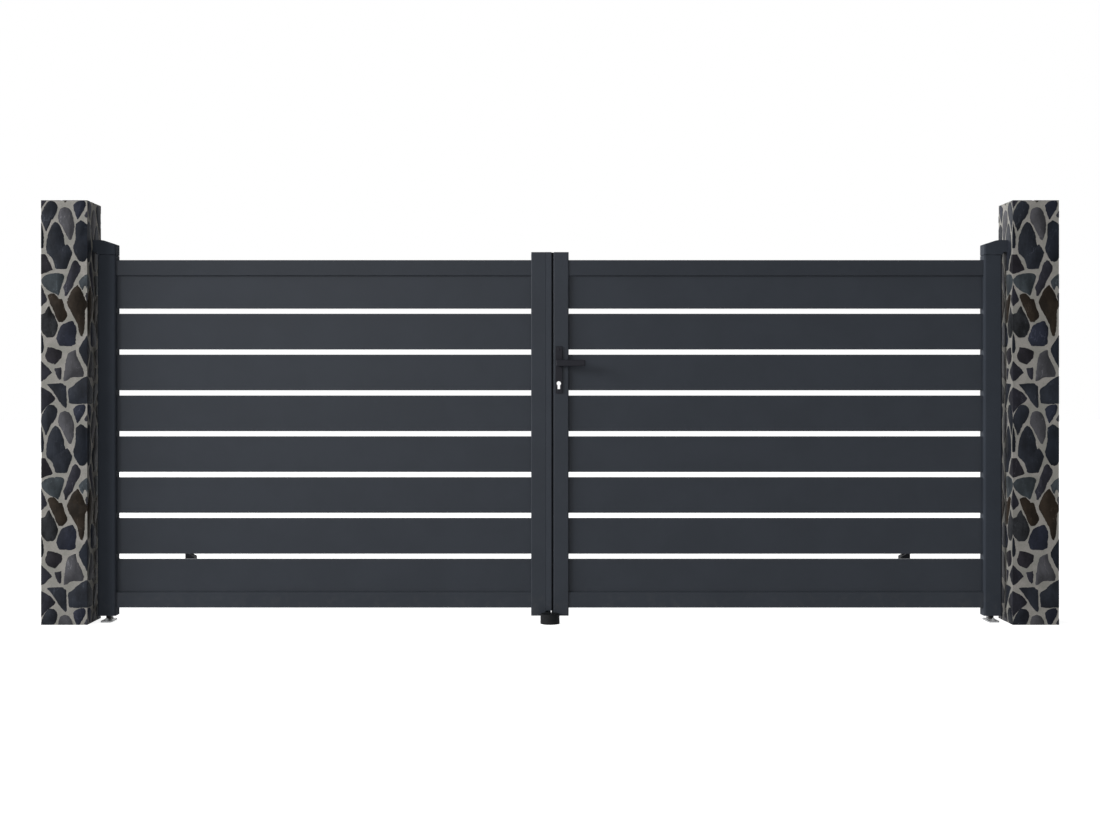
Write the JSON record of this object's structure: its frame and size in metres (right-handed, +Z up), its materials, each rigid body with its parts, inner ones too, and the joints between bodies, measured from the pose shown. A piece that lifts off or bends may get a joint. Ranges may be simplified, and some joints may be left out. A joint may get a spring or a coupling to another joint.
{
  "type": "swing gate",
  "caption": "Double-leaf swing gate of grey horizontal slats in aluminium frames, hung between two square stone pillars, with lever handle, meeting seal and ground stops",
  "frame": {"origin": "centre of the left pillar's foot, on the ground", "axes": "+X to the right along the gate as seen from the street, +Y away from the street, +Z up"},
  "size_m": [3.85, 1.7813, 1.606],
  "materials": {
    "stone": "split slate and grey stone in pale mortar",
    "anthracite_aluminium": "satin anthracite powder coat on aluminium",
    "black_aluminium": "satin black powder coat on aluminium",
    "galvanised_steel": "galvanised",
    "lock_steel": "zinc plated",
    "bush_plastic": "black moulded",
    "cap_plastic": "anthracite moulded",
    "stop_iron": "black painted casting",
    "black_rubber": "matt black"
  },
  "bodies": {
    "posts": {"centre_stop": "black_rubber", "left_pillar": "stone", "left_bracket_studs": "galvanised_steel", "left_upper_bracket": "anthracite_aluminium", "left_upper_pin": "galvanised_steel", "left_floor_plate": "galvanised_steel", "left_floor_pin": "galvanised_steel", "left_open_stop": "stop_iron", "left_open_buffer": "black_rubber", "right_pillar": "stone", "right_bracket_studs": "galvanised_steel", "right_upper_bracket": "anthracite_aluminium", "right_upper_pin": "galvanised_steel", "right_floor_plate": "galvanised_steel", "right_floor_pin": "galvanised_steel", "right_open_stop": "stop_iron", "right_open_buffer": "black_rubber"},
    "left_leaf": {"left_hinge_stile": "anthracite_aluminium", "left_top_bush": "bush_plastic", "left_bottom_bush": "bush_plastic", "left_meeting_stile": "anthracite_aluminium", "left_meeting_caps": "cap_plastic", "left_bottom_rail": "anthracite_aluminium", "left_top_rail": "anthracite_aluminium", "left_slats": "anthracite_aluminium", "seal_carrier": "anthracite_aluminium", "meeting_seal": "black_rubber"},
    "right_leaf": {"right_hinge_stile": "anthracite_aluminium", "right_top_bush": "bush_plastic", "right_bottom_bush": "bush_plastic", "right_meeting_stile": "anthracite_aluminium", "right_meeting_caps": "cap_plastic", "right_bottom_rail": "anthracite_aluminium", "right_top_rail": "anthracite_aluminium", "right_slats": "anthracite_aluminium", "lock_case": "lock_steel", "street_lock_plate": "black_aluminium", "yard_lock_plate": "black_aluminium"},
    "handle": {"street_lever": "black_aluminium", "yard_lever": "black_aluminium", "spindle": "lock_steel"}
  },
  "joints": [
    {"name": "left_leaf_hinge", "type": "hinge", "parent": "posts", "child": "left_leaf", "pos_m": [0.1405, 0.0095, 0.7], "axis": [0, 0, 1], "range_deg": [0, 90]},
    {"name": "right_leaf_hinge", "type": "hinge", "parent": "posts", "child": "right_leaf", "pos_m": [3.5345, 0.0095, 0.7], "axis": [0, 0, -1], "range_deg": [0, 90]},
    {"name": "handle_turn", "type": "hinge", "parent": "right_leaf", "child": "handle", "pos_m": [1.8719, 0.0095, 0.991], "axis": [0, 1, 0], "range_deg": [0, 40], "stiffness_Nm_per_rad": 2, "springref_deg": -20.05}
  ]
}
